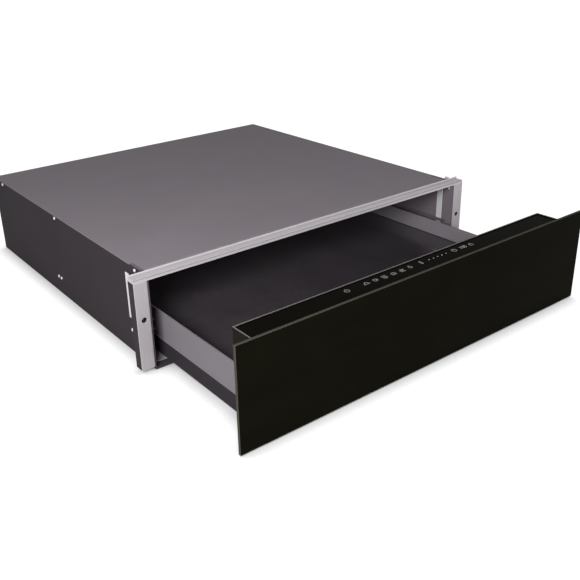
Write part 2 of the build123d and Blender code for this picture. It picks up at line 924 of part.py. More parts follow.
def rear_partition():
    """Sheet wall between the drawer space and the rear compartment."""
    y = (partition_y, partition_y + casing_sheet)
    through = shrunk(y, -1)
    wall = block((-half_inside, half_inside), y, (casing_sheet, cover_underside))
    for side in (-1, 1):
        corner = sorted((side * (half_inside - casing_sheet - fit), side * (half_inside + 1)))
        wall -= block(corner, through, (housing_height - cover_lip - fit, cover_underside + 1))
    columns = int(wheel_length // grille_pitch)
    for column in range(columns):
        x = blower_x + (column - (columns - 1) / 2) * grille_pitch
        slot = (x - grille_slot / 2, x + grille_slot / 2)
        wall -= block(slot, through, (outlet_bottom, outlet_top))
        wall -= block(slot, through, (return_bottom, return_top))
    wall -= block(
        shrunk((-latch_half_width, latch_half_width), -fit), through, shrunk((latch_bottom, latch_top), -fit)
    )
    return wall - along_y(sensor_radius + fit, sensor_x, through, sensor_height)


def blower_shell(grow):
    """The blower casing's outline, grown or shrunk all round."""
    x = (blower_x - blower_half - grow, blower_x + blower_half + grow)
    y = (partition_y + casing_sheet - grow, housing_depth - casing_sheet - blower_rear_gap + grow)
    z = (blower_bottom - grow, blower_height + grow)
    shell = block(x, y, z)
    return fillet(shell.edges().filter_by(Axis.X).group_by(Axis.Z)[0], blower_round + grow)


def blower_casing():
    """Casing round the wheel, open at the front outlet and at the top inlet, on a foot."""
    front = partition_y + casing_sheet
    casing = blower_shell(0) - blower_shell(-blower_wall)
    mouth = shrunk((blower_x - blower_half, blower_x + blower_half), 2 * blower_wall)
    casing -= block(mouth, (front - 1, front + 2 * blower_wall), (outlet_bottom, outlet_top))
    casing -= block(
        mouth,
        (wheel_y - inlet_half, wheel_y + inlet_half),
        (blower_height - 2 * blower_wall, blower_height + 1),
    )
    ends = (blower_x - blower_half - 1, blower_x + blower_half + 1)
    casing -= along_x(shaft_radius + shaft_clearance, ends, wheel_y, wheel_height)
    for side in (-1, 1):
        x = blower_x + side * (blower_half - blower_foot)
        foot = sorted((x, x + side * blower_foot))
        casing += block(foot, (wheel_y - blower_foot, wheel_y + blower_foot), (casing_sheet, blower_bottom))
    return casing


def blower_wheel():
    """Crossflow wheel: a ring of tilted blades between two discs, on stub shafts."""
    left = blower_x - wheel_length / 2
    right = blower_x + wheel_length / 2 - wheel_disc
    wheel = along_x(shaft_radius, (blower_x - blower_half, left + wheel_disc), wheel_y, wheel_height)
    wheel += along_x(shaft_radius, (right, motor_x + motor_length - fit), wheel_y, wheel_height)
    for x in (left, right):
        wheel += along_x(wheel_radius, (x, x + wheel_disc), wheel_y, wheel_height)
    blade = Box(wheel_length - wheel_disc, blade_thickness, blade_depth)
    for index in range(blade_count):
        turn = Pos(blower_x, wheel_y, wheel_height) * Rot(X=index * 360 / blade_count)
        wheel += turn * Pos(0, 0, wheel_radius - blade_depth / 2 - blade_inset) * Rot(X=blade_tilt) * blade
    return wheel


def blower_motor():
    """Motor on the end of the blower casing, open towards it, with a bearing wall at its far end."""
    far = motor_x + motor_length
    y = (wheel_y - motor_half_side, wheel_y + motor_half_side)
    z = (wheel_height - motor_half_side, wheel_height + motor_half_side)
    motor = block((motor_x, far), y, z)
    motor = fillet(motor.edges().filter_by(Axis.X), motor_round)
    motor -= along_x(motor_bore_radius, (motor_x - 1, far - motor_end_wall), wheel_y, wheel_height)
    return motor - along_x(shaft_radius + shaft_clearance, (motor_x, far + 1), wheel_y, wheel_height)


def motor_rotor():
    x = (motor_x + 1, motor_x + motor_length - motor_end_wall - 1)
    return along_x(rotor_radius, x, wheel_y, wheel_height) - along_x(shaft_radius, x, wheel_y, wheel_height)


def power_board():
    """Supply and switching board with two relays and a capacitor on its front."""
    front = housing_depth - casing_sheet - standoff_length - board_thickness
    x = (board_x, board_x + board_width)
    board = block(x, (front, front + board_thickness), (board_bottom, board_bottom + board_height))
    y = (front - relay_depth, front)
    relay_top = relay_bottom + relay_height
    for index in range(2):
        left = board_x + relay_margin + index * relay_pitch
        board += block((left, left + relay_width), y, (relay_bottom, relay_top))
    return board + along_y(
        capacitor_radius, board_x + relay_margin + relay_width, y, relay_top + capacitor_rise
    )


def board_standoffs():
    rear = housing_depth - casing_sheet
    posts = []
    for x in shrunk((board_x, board_x + board_width), standoff_inset):
        for z in shrunk((board_bottom, board_bottom + board_height), standoff_inset):
            posts.append(along_y(standoff_radius, x, (rear - standoff_length, rear), z))
    return posts


def terminal_block():
    """Three-way supply terminal on the base."""
    length, depth, height = terminal_size
    rear = housing_depth - casing_sheet - terminal_rear_gap
    top = casing_sheet + height
    left = -half_inside + terminal_side_gap
    body = block((left, left + length), (rear - depth, rear), (casing_sheet, top))
    pitch = length / 3
    for index in range(3):
        x = left + pitch * (index + 0.5)
        body -= rod(terminal_well, (x, rear - depth / 2, top - height / 2), (x, rear - depth / 2, top + 1))
        body -= rod(terminal_well, (x, rear - depth / 2, height / 2), (x, rear + 1, height / 2))
    return body


def cable_gland():
    """Supply gland through the rear panel: flange and dome outside, nut inside, bored through."""
    panel = (housing_depth - casing_sheet, housing_depth)
    length = (panel[0] - gland_inside, panel[1] + gland_outside)
    gland = along_y(gland_body_radius, gland_x, length, gland_height)
    gland = fillet(gland.edges().group_by(Axis.Y)[-1], gland_round)
    for y in ((panel[1], panel[1] + gland_flange), (panel[0] - gland_nut, panel[0])):
        gland += along_y(gland_flange_radius, gland_x, y, gland_height)
    return gland - along_y(gland_bore_radius, gland_x, shrunk(length, -1), gland_height)


def temperature_sensor():
    rear = partition_y + casing_sheet
    probe = along_y(sensor_radius, sensor_x, (partition_y - sensor_reach, rear + sensor_tail), sensor_height)
    return probe + along_y(2 * sensor_radius, sensor_x, (rear, rear + sensor_flange), sensor_height)


def casing_screws():
    """Screws of both side panels, of the brackets' feet and of the rear panel."""
    screws = []
    for side in (-1, 1):
        for y, z in side_screw_places():
            screws.append(screw((side * half_housing, y, z), (-side, 0, 0), casing_screw_length))
        for x, y in foot_screw_places():
            seat = (side * x, y, casing_sheet + bracket_foot_sheet)
            screws.append(screw(seat, (0, 0, -1), foot_screw_length))
    for x in rear_screw_xs:
        for z in rear_screw_heights:
            screws.append(screw((x, housing_depth, z), (0, -1, 0), casing_screw_length))
    return screws


def frame_screws():
    """Screws from inside the posts' inner flanges into the side panels' front tabs."""
    screws = []
    for side in (-1, 1):
        for z in frame_screw_heights:
            screws.append(screw((side * half_inside, frame_screw_y, z), (side, 0, 0), frame_screw_length))
    return screws


write("base_pan", base_pan())
write_pair("side_panel", side_panel())
write("top_cover", top_cover())
write("rear_panel", rear_panel())
write("frame_top_rail", frame_top_rail())
write_pair("frame_post", frame_post())
write_pair("post_channel", post_channel())
write_pair("centring_spring", centring_spring())
write_pair("runner_brackets", *runner_brackets())
write_pair("fixed_rail", fixed_rail())
write_pair("middle_rail", middle_rail())
write_pair("drawer_rail", drawer_rail())
write("outer_ball_cages", *outer_ball_cages())
write("inner_ball_cages", *inner_ball_cages())
write_pair("guide_channel", guide_channel())
write("casing_screws", *casing_screws())
write("frame_screws", *frame_screws())
write("rear_partition", rear_partition())
write("blower_casing", blower_casing())
write("blower_wheel", blower_wheel())
write("blower_motor", blower_motor())
write("motor_rotor", motor_rotor())
write("power_board", power_board())
write("board_standoffs", *board_standoffs())
write("terminal_block", terminal_block())
write("cable_gland", cable_gland())
write("temperature_sensor", temperature_sensor())
write("latch_body", latch_body())
write("latch_plunger", latch_plunger())
write_pair("drawer_wall", drawer_wall())
write_pair("drawer_skirt", drawer_skirt())
write("drawer_rear_wall", drawer_rear_wall())
write("floor_tray", floor_tray())
write("floor_heater", floor_heater())
write("floor_glass", floor_glass())
write("floor_seal", floor_seal())
write("under_pan", under_pan())
write("insulation_pad", insulation_pad())
write("front_glass", front_glass())
write("front_carrier", front_carrier())
write("control_housing", control_housing())
write("control_carrier", control_carrier())
write("control_glass", control_glass())
write("touch_board", touch_board())
write("front_buffers", *front_buffers())
write("drawer_screws", *drawer_screws())
write("rear_glides", *rear_glides())
write("latch_striker", latch_striker())
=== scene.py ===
import json
import math

import bmesh
import bpy
from mathutils import Matrix, Vector


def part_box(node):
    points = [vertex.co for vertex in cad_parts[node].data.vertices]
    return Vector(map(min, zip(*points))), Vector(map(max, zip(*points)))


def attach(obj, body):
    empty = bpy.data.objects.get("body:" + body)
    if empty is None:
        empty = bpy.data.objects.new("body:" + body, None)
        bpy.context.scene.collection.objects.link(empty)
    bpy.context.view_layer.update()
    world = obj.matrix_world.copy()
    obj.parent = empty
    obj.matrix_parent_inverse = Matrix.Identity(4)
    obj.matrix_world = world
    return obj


# Looks of the built-in warming drawer: materials for every piece, the marks on the control strip,
# a plain studio and the camera. Metres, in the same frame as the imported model.

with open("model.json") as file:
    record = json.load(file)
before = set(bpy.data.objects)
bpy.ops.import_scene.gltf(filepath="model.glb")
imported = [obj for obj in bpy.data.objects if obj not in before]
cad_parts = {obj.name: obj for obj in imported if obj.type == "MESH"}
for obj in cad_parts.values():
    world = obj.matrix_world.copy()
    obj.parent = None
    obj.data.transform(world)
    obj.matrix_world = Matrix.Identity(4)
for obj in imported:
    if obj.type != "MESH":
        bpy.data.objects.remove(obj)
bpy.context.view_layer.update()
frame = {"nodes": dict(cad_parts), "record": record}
nodes = frame["nodes"]


# ---------------------------------------------------------------- camera
# Focal length, principal point and pose, fitted to the corners and edges of the photograph.
PHOTO_SIZE = 580
FOCAL_PX = 769.6
CENTRE_PX = (262.0, 262.0)
CAMERA_PLACE = Vector((-0.6627, -0.7666, 0.5097))
CAMERA_AZIMUTH = -35.963
CAMERA_ELEVATION = 23.388
CAMERA_ROLL = -1.979
SENSOR_MM = 36.0


def make_camera():
    """The camera of the photograph, turned by azimuth, elevation and roll."""
    azimuth = math.radians(CAMERA_AZIMUTH)
    elevation = math.radians(CAMERA_ELEVATION)
    roll = math.radians(CAMERA_ROLL)
    back = Vector((
        math.sin(azimuth) * math.cos(elevation),
        -math.cos(azimuth) * math.cos(elevation),
        math.sin(elevation),
    ))
    right = (-back).cross(Vector((0, 0, 1))).normalized()
    up = right.cross(-back)
    turned_right = math.cos(roll) * right + math.sin(roll) * up
    turned_up = math.cos(roll) * up - math.sin(roll) * right
    data = bpy.data.cameras.new("camera")
    data.sensor_width = SENSOR_MM
    data.lens = FOCAL_PX * SENSOR_MM / PHOTO_SIZE
    data.shift_x = (PHOTO_SIZE / 2 - CENTRE_PX[0]) / PHOTO_SIZE
    data.shift_y = (CENTRE_PX[1] - PHOTO_SIZE / 2) / PHOTO_SIZE
    data.clip_start = 0.01
    data.clip_end = 50
    camera = bpy.data.objects.new("camera", data)
    bpy.context.scene.collection.objects.link(camera)
    axes = Matrix((turned_right, turned_up, back)).transposed().to_4x4()
    camera.matrix_world = Matrix.Translation(CAMERA_PLACE) @ axes
    bpy.context.scene.camera = camera


make_camera()


# ---------------------------------------------------------------- material tools
CASING_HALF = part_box("right_side_panel")[1].x
CASING_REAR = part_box("rear_panel")[1].y
# How far behind its outer faces, and above its underside, the casing takes its inner colour.
FACE_DEPTH = 0.0005
BASE_RISE = 0.003
# A painted highlight along convex edges: its rounding, samples, and the bend where it starts and where
# it is full.
HIGHLIGHT_RADIUS = 0.0015
HIGHLIGHT_SAMPLES = 6
HIGHLIGHT_START = 0.02
HIGHLIGHT_FULL = 0.30
# How much lighter metal edges are painted, as a highlight.
METAL_EDGE_HIGHLIGHT = 1.3
PAINT_SPECULAR = 0.010
PEEL_GRAIN = 2600
PEEL_STRENGTH = 0.25
PEEL_DEPTH = 0.00012
BRUSH_DEPTH = 0.00004


class Shader:
    """A new node material with short ways to add and join nodes."""

    def __init__(self, name):
        self.material = bpy.data.materials.new(name)
        self.material.use_nodes = True
        self.tree = self.material.node_tree
        self.tree.nodes.clear()
        self.output = self.add("ShaderNodeOutputMaterial")
        self.coords = self.add("ShaderNodeTexCoord").outputs["Object"]

    def add(self, kind, **settings):
        node = self.tree.nodes.new(kind)
        for key, value in settings.items():
            setattr(node, key, value)
        return node

    def join(self, source, target):
        self.tree.links.new(source, target)

    def principled(self, **values):
        node = self.add("ShaderNodeBsdfPrincipled")
        for key, value in values.items():
            node.inputs[key.replace("_", " ")].default_value = value
        self.join(node.outputs[0], self.output.inputs["Surface"])
        return node

    def stretched(self, scale):
        mapping = self.add("ShaderNodeMapping")
        mapping.inputs["Scale"].default_value = scale
        self.join(self.coords, mapping.inputs["Vector"])
        return mapping.outputs[0]

    def noise(self, scale, detail=3.0, roughness=0.55, stretch=(1, 1, 1)):
        node = self.add("ShaderNodeTexNoise")
        node.inputs["Scale"].default_value = scale
        node.inputs["Detail"].default_value = detail
        node.inputs["Roughness"].default_value = roughness
        self.join(self.stretched(stretch), node.inputs["Vector"])
        return node.outputs["Fac"]

    def to_range(self, value, low, high, from_low=0.3, from_high=0.7):
        node = self.add("ShaderNodeMapRange")
        self.join(value, node.inputs["Value"])
        limits = {"From Min": from_low, "From Max": from_high, "To Min": low, "To Max": high}
        for key, number in limits.items():
            node.inputs[key].default_value = number
        return node.outputs[0]

    def math(self, operation, first, second=None):
        node = self.add("ShaderNodeMath", operation=operation)
        for socket, value in zip(node.inputs, (first, second)):
            if value is None:
                continue
            if isinstance(value, (int, float)):
                socket.default_value = value
            else:
                self.join(value, socket)
        return node.outputs[0]

    def mix(self, factor, first, second):
        node = self.add("ShaderNodeMix", data_type="RGBA")
        self.join(factor, node.inputs[0])
        for socket, value in ((node.inputs[6], first), (node.inputs[7], second)):
            if isinstance(value, tuple):
                socket.default_value = (*value, 1)
            else:
                self.join(value, socket)
        return node.outputs[2]

    def bump(self, height, strength, distance, target):
        node = self.add("ShaderNodeBump")
        node.inputs["Strength"].default_value = strength
        node.inputs["Distance"].default_value = distance
        self.join(height, node.inputs["Height"])
        self.join(node.outputs[0], target.inputs["Normal"])

    def position(self, axis):
        node = self.add("ShaderNodeSeparateXYZ")
        self.join(self.coords, node.inputs[0])
        return node.outputs["XYZ".index(axis)]

    def within_casing(self):
        """1 inside the casing's outer faces, and 0 on them and on the base."""
        distance = self.math("ABSOLUTE", self.position("X"))
        between_sides = self.math("LESS_THAN", distance, CASING_HALF - FACE_DEPTH)
        before_rear = self.math("LESS_THAN", self.position("Y"), CASING_REAR - FACE_DEPTH)
        above_base = self.math("GREATER_THAN", self.position("Z"), BASE_RISE)
        mask = self.math("MULTIPLY", between_sides, before_rear)
        return self.math("MULTIPLY", mask, above_base)

    def edge_highlight_mask(self):
        """1 on convex edges and 0 on flat faces, from a rounded and a true normal: the mask of a painted
        edge highlight.
        """
        soft = self.add("ShaderNodeBevel", samples=HIGHLIGHT_SAMPLES)
        soft.inputs["Radius"].default_value = HIGHLIGHT_RADIUS
        true = self.add("ShaderNodeNewGeometry").outputs["True Normal"]
        dot = self.add("ShaderNodeVectorMath", operation="DOT_PRODUCT")
        self.join(soft.outputs[0], dot.inputs[0])
        self.join(true, dot.inputs[1])
        bend = self.math("SUBTRACT", 1.0, dot.outputs["Value"])
        return self.to_range(bend, 0.0, 1.0, HIGHLIGHT_START, HIGHLIGHT_FULL)


def shade(color, factor):
    """A colour made lighter or darker."""
    return tuple(min(1.0, channel * factor) for channel in color)


def painted(name, color, roughness, edge, inside=None):
    """Powder coat: fine orange peel, slightly uneven gloss, faint dust and a painted highlight along its
    convex edges.

    A casing panel may have another colour on its inner faces, given as inside.
    """
    s = Shader(name)
    shader = s.principled(Metallic=0.0, Specular_IOR_Level=PAINT_SPECULAR)
    speckle = s.noise(PEEL_GRAIN, detail=2.0)
    cloud = s.noise(9, detail=4.0)
    base = s.mix(s.to_range(cloud, 0, 1), shade(color, 0.94), shade(color, 1.05))
    if inside:
        base = s.mix(s.within_casing(), base, inside)
    fleck = s.mix(s.to_range(speckle, 0, 0.35, 0.62, 0.75), base, shade(color, 1.9))
    # Convex edges take the colour lightened by edge: a painted highlight.
    s.join(s.mix(s.edge_highlight_mask(), fleck, shade(color, edge)), shader.inputs["Base Color"])
    s.join(s.to_range(cloud, roughness - 0.05, roughness + 0.06), shader.inputs["Roughness"])
    s.bump(speckle, PEEL_STRENGTH, PEEL_DEPTH, shader)
    return s.material


def brushed(name, color, roughness, stretch, metallic=1.0, contrast=0.12):
    """Rolled or brushed metal with its grain along one axis."""
    s = Shader(name)
    shader = s.principled(Metallic=metallic)
    fine = s.noise(900, detail=4.0, roughness=0.7, stretch=stretch)
    coarse = s.noise(160, detail=3.0, stretch=stretch)
    cloud = s.noise(12, detail=3.0)
    grain = s.math("ADD", s.math("MULTIPLY", fine, 0.6), s.math("MULTIPLY", coarse, 0.4))
    dark = shade(color, 1 - contrast)
    light = shade(color, 1 + contrast)
    tone = s.mix(s.to_range(grain, 0, 1, 0.35, 0.65), dark, light)
    # Convex edges take a lighter colour: a painted highlight.
    s.join(s.mix(s.edge_highlight_mask(), tone, shade(color, METAL_EDGE_HIGHLIGHT)), shader.inputs["Base Color"])
    uneven = s.math("MULTIPLY", s.math("SUBTRACT", cloud, 0.5), 0.12)
    gloss = s.math("ADD", s.to_range(grain, roughness - 0.06, roughness + 0.08), uneven)
    s.join(gloss, shader.inputs["Roughness"])
    s.bump(grain, 0.3, BRUSH_DEPTH, shader)
    return s.material


def frame_material():
    """Satin aluminium: grain along the rail and up the posts, the posts painted darker as shade, and
    painted shade in the rail's groove and other crevices.
    """
    s = Shader("frame aluminium")
    shader = s.principled(Metallic=0.25)
    on_rail = s.math("GREATER_THAN", s.position("Z"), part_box("frame_top_rail")[0].z)
    tones = []
    # The posts take a darker copy of the rail's colour: painted shade.
    for color, stretch in ((shade(FRAME_SILVER, POST_SHADE), (1, 1, 0.03)), (FRAME_SILVER, (0.03, 1, 1))):
        grain = s.noise(700, detail=4.0, roughness=0.7, stretch=stretch)
        tones.append(s.mix(s.to_range(grain, 0, 1, 0.35, 0.65), shade(color, 0.95), shade(color, 1.05)))
    unshaded = s.mix(on_rail, *tones)
    # Ambient occlusion darkens the rail's groove and other crevices: painted shade.
    crevice = s.add("ShaderNodeAmbientOcclusion", samples=8, only_local=True)
    crevice.inputs["Distance"].default_value = GROOVE_SHADE_REACH
    openness = s.to_range(crevice.outputs["AO"], 0, 1, 0.35, 0.90)
    tone = s.mix(openness, shade(FRAME_SILVER, GROOVE_SHADE_TONE), unshaded)
    # Convex edges take a lighter colour: a painted highlight.
    s.join(s.mix(s.edge_highlight_mask(), tone, shade(FRAME_SILVER, METAL_EDGE_HIGHLIGHT)), shader.inputs["Base Color"])
    cloud = s.noise(12, detail=3.0)
    s.join(s.to_range(cloud, 0.40, 0.52), shader.inputs["Roughness"])
    s.bump(s.noise(900, detail=4.0, stretch=(0.2, 1, 0.2)), 0.2, 0.00003, shader)
    return s.material


def moulded(name, color, roughness, specular=0.4):
    """Moulded plastic or rubber with a fine spark-eroded texture."""
    s = Shader(name)
    shader = s.principled(Metallic=0.0, Specular_IOR_Level=specular)
    grain = s.noise(1800, detail=3.0)
    cloud = s.noise(22, detail=3.0)
    tone = s.mix(s.to_range(cloud, 0, 1), shade(color, 0.85), shade(color, 1.2))
    s.join(tone, shader.inputs["Base Color"])
    s.join(s.to_range(cloud, roughness - 0.06, roughness + 0.08), shader.inputs["Roughness"])
    s.bump(grain, 0.35, 0.00005, shader)
    return s.material


# ---------------------------------------------------------------- materials
COVER_GREY = (0.231, 0.207, 0.229)
CASING_GREY = (0.041, 0.034, 0.039)
INSIDE_GREY = (0.150, 0.130, 0.146)
DRAWER_GREY = (0.180, 0.165, 0.181)
SKIRT_GREY = (0.030, 0.026, 0.031)
STRIP_BLACK = (0.009, 0.007, 0.006)
# A pale line along the control housing's top rim, a painted highlight: its colour and depth.
RIM_HIGHLIGHT_GREY = (0.150, 0.140, 0.140)
RIM_DEPTH = 0.0005
FRAME_SILVER = (0.462, 0.434, 0.452)
# How much darker the posts are painted than the rail, as shade.
POST_SHADE = 0.83
# Painted shade in the frame's crevices: its darkest tone and how far it reaches.
GROOVE_SHADE_TONE = 0.25
GROOVE_SHADE_REACH = 0.002
FLOOR_BLACK = (0.043, 0.037, 0.042)
STRIP_GLASS_BLACK = (0.0030, 0.0027, 0.0015)
GLASS_BLACK = (0.0040, 0.0036, 0.0020)
# Tone of the ground glass edges, which is also a painted highlight along the chamfer.
GLASS_EDGE_AND_HIGHLIGHT = (0.050, 0.048, 0.038)
GLASS_EDGE_WIDTH = 0.00045
GLASS_IOR = 1.5
WINDING_PITCH = 0.03


def dark_glass(name, color, roughness, specular):
    """Black-backed glass with faint smears in its tone and gloss."""
    s = Shader(name)
    shader = s.principled(Metallic=0.0, IOR=GLASS_IOR, Specular_IOR_Level=specular)
    smear = s.noise(14, detail=5.0, roughness=0.6, stretch=(1, 1, 2.5))
    s.join(s.to_range(smear, roughness, roughness + 0.05), shader.inputs["Roughness"])
    s.join(s.mix(s.to_range(smear, 0, 1), color, shade(color, 1.35)), shader.inputs["Base Color"])
    return s.material


def front_glass_material():
    """Black glass whose ground edges are paler than its face; their pale tone is also a painted
    highlight where the chamfer catches light.
    """
    low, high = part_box("front_glass")
    s = Shader("front glass")
    shader = s.principled(Metallic=0.0, IOR=GLASS_IOR, Specular_IOR_Level=0.006)
    edges = []
    for axis, bottom, top in (("X", low.x, high.x), ("Z", low.z, high.z)):
        place = s.position(axis)
        edges.append(s.math("LESS_THAN", place, bottom + GLASS_EDGE_WIDTH))
        edges.append(s.math("GREATER_THAN", place, top - GLASS_EDGE_WIDTH))
    mask = edges[0]
    for edge in edges[1:]:
        mask = s.math("MAXIMUM", mask, edge)
    smear = s.noise(14, detail=5.0, stretch=(1, 1, 2.5))
    face = s.mix(s.to_range(smear, 0, 1), GLASS_BLACK, shade(GLASS_BLACK, 1.3))
    # The pale ground edges are partly their own colour and partly a painted highlight.
    ground_edge_and_highlight = s.mix(s.noise(700, detail=2.0), shade(GLASS_EDGE_AND_HIGHLIGHT, 0.7), shade(GLASS_EDGE_AND_HIGHLIGHT, 1.3))
    s.join(s.mix(mask, face, ground_edge_and_highlight), shader.inputs["Base Color"])
    s.join(s.to_range(mask, 0.05, 0.42, 0.0, 1.0), shader.inputs["Roughness"])
    return s.material


def strip_material():
    """Black paint of the control housing, with a pale line along its top rim that is a painted
    highlight.
    """
    s = Shader("strip paint")
    shader = s.principled(Metallic=0.0, Roughness=0.4, Specular_IOR_Level=PAINT_SPECULAR)
    speckle = s.noise(PEEL_GRAIN, detail=2.0)
    paint = s.mix(s.to_range(speckle, 0, 1), shade(STRIP_BLACK, 0.8), shade(STRIP_BLACK, 1.3))
    # The top rim takes a pale colour: a painted highlight.
    rim = s.math("GREATER_THAN", s.position("Z"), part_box("control_housing")[1].z - RIM_DEPTH)
    rim_highlight = s.mix(s.to_range(speckle, 0, 1), shade(RIM_HIGHLIGHT_GREY, 0.8), shade(RIM_HIGHLIGHT_GREY, 1.2))
    s.join(s.mix(rim, paint, rim_highlight), shader.inputs["Base Color"])
    s.bump(speckle, PEEL_STRENGTH, PEEL_DEPTH, shader)
    return s.material


def board_material():
    """Green circuit board: copper tracks under the lacquer in a squared pattern."""
    s = Shader("circuit board")
    shader = s.principled(Roughness=0.38)
    brick = s.add("ShaderNodeTexBrick")
    brick.inputs["Scale"].default_value = 220
    brick.inputs["Mortar Size"].default_value = 0.06
    brick.inputs["Color1"].default_value = (0.010, 0.085, 0.035, 1)
    brick.inputs["Color2"].default_value = (0.014, 0.105, 0.045, 1)
    brick.inputs["Mortar"].default_value = (0.055, 0.20, 0.07, 1)
    swap = s.add("ShaderNodeCombineXYZ")
    s.join(s.position("X"), swap.inputs[0])
    s.join(s.math("ADD", s.position("Z"), s.position("Y")), swap.inputs[1])
    s.join(swap.outputs[0], brick.inputs["Vector"])
    s.join(brick.outputs["Color"], shader.inputs["Base Color"])
    s.bump(brick.outputs["Fac"], 0.3, 0.00005, shader)
    return s.material


def wool_material():
    """Mineral wool: long loose fibres over a lumpy body."""
    s = Shader("mineral wool")
    shader = s.principled(Roughness=0.95, Sheen_Weight=0.3)
    fibres = s.noise(420, detail=6.0, roughness=0.75, stretch=(1, 6, 1))
    across = s.noise(380, detail=6.0, roughness=0.75, stretch=(7, 1, 1))
    height = s.math("MAXIMUM", fibres, across)
    tone = s.mix(s.to_range(height, 0, 1, 0.4, 0.75), (0.30, 0.25, 0.13), (0.72, 0.66, 0.46))
    s.join(tone, shader.inputs["Base Color"])
    s.bump(height, 0.9, 0.0015, shader)
    return s.material


def foil_material():
    """Heater foil: crinkled aluminium with the element's winding showing as ridges."""
    s = Shader("heater foil")
    shader = s.principled(Metallic=1.0, Roughness=0.32)
    crinkle = s.add("ShaderNodeTexVoronoi", feature="DISTANCE_TO_EDGE")
    crinkle.inputs["Scale"].default_value = 60
    s.join(s.coords, crinkle.inputs["Vector"])
    ridge = s.math("SINE", s.math("MULTIPLY", s.position("X"), 2 * math.pi / WINDING_PITCH))
    height = s.math("ADD", s.math("MULTIPLY", ridge, 0.5), crinkle.outputs["Distance"])
    s.join(s.mix(s.noise(30), (0.55, 0.55, 0.56), (0.70, 0.70, 0.71)), shader.inputs["Base Color"])
    s.bump(height, 0.6, 0.0006, shader)
    return s.material


materials = {
    "cover_paint": painted("cover paint", COVER_GREY, 0.42, edge=1.15),
    "casing_paint": painted("casing paint", CASING_GREY, 0.5, edge=1.3, inside=INSIDE_GREY),
    "frame_aluminium": frame_material(),
    "zinc_steel": brushed("zinc steel", (0.62, 0.62, 0.63), 0.32, (1, 1, 0.05), metallic=0.6),
    "spring_steel": brushed(
        "spring steel", (0.60, 0.585, 0.59), 0.4, (1, 1, 0.05), metallic=0.15, contrast=0.05
    ),
    "rail_steel": brushed("rail steel", (0.42, 0.42, 0.43), 0.3, (1, 0.03, 1)),
    "drawer_paint": painted("drawer paint", DRAWER_GREY, 0.45, edge=1.25),
    "skirt_paint": painted("skirt paint", SKIRT_GREY, 0.5, edge=1.4),
    "strip_paint": strip_material(),
    "floor_glass": dark_glass("floor glass", FLOOR_BLACK, 0.12, 0.70),
    "front_glass": front_glass_material(),
    "control_glass": dark_glass("control glass", STRIP_GLASS_BLACK, 0.08, 0.003),
    "black_rubber": moulded("black rubber", (0.018, 0.018, 0.018), 0.7, specular=0.3),
    "black_plastic": moulded("black plastic", (0.028, 0.027, 0.027), 0.5),
    "white_nylon": moulded("white nylon", (0.72, 0.72, 0.68), 0.45),
    "circuit_board": board_material(),
    "heater_foil": foil_material(),
    "mineral_wool": wool_material(),
    "motor_steel": brushed("motor steel", (0.30, 0.30, 0.31), 0.4, (0.05, 1, 1)),
}
for row in frame["record"]["subparts"]:
    mesh = nodes[row["node"]].data
    mesh.materials.clear()
    mesh.materials.append(materials[row["material_slot"]])


# ---------------------------------------------------------------- folded edges
# Sheet steel and glass have no knife edges: a small rounding on the pieces that show catches the light.
ROUNDED = {
    "top_cover": 0.0004,
    "left_side_panel": 0.0003,
    "right_side_panel": 0.0003,
    "rear_panel": 0.0003,
    "base_pan": 0.0003,
    "frame_top_rail": 0.0002,
    "left_frame_post": 0.0003,
    "right_frame_post": 0.0003,
    "left_drawer_wall": 0.0003,
    "right_drawer_wall": 0.0003,
    "drawer_rear_wall": 0.0003,
    "control_housing": 0.0003,
    "control_glass": 0.0003,
    "left_guide_channel": 0.0002,
    "right_guide_channel": 0.0002,
}
for name, width in ROUNDED.items():
    bevel = nodes[name].modifiers.new("folded edges", "BEVEL")
    bevel.width = width
    bevel.segments = 2
    bevel.limit_method = "ANGLE"
    bevel.angle_limit = math.radians(50)
    bevel.harden_normals = True


# ---------------------------------------------------------------- marks on the control strip
MARK_RISE = 0.00006
MARK_THICKNESS = 0.00004
STROKE = 0.00085
MARK_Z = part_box("control_glass")[1].z
ROW_Y = -0.174
POWER_X = -0.113
FIRST_FUNCTION_X = -0.082
FUNCTION_PITCH = 0.01475
THERMOMETER_X = 0.012
FIRST_LAMP_X = 0.0265
LAMP_PITCH = 0.0078
LAMP_COUNT = 5
LAMP_RADIUS = 0.0008
TIMER_X = 0.073
TIMER_DIGITS = ((0.0845, "1"), (0.0895, "3"), (0.0940, "0"))
COLON_X = 0.0870
COLON_RISE = 0.0011
COLON_RADIUS = 0.0004
LOCK_X = 0.105
ICON_GREY = (0.22, 0.22, 0.21)
LAMP_GREY = (0.50, 0.49, 0.46)
DIGIT_GREY = (0.40, 0.40, 0.38)


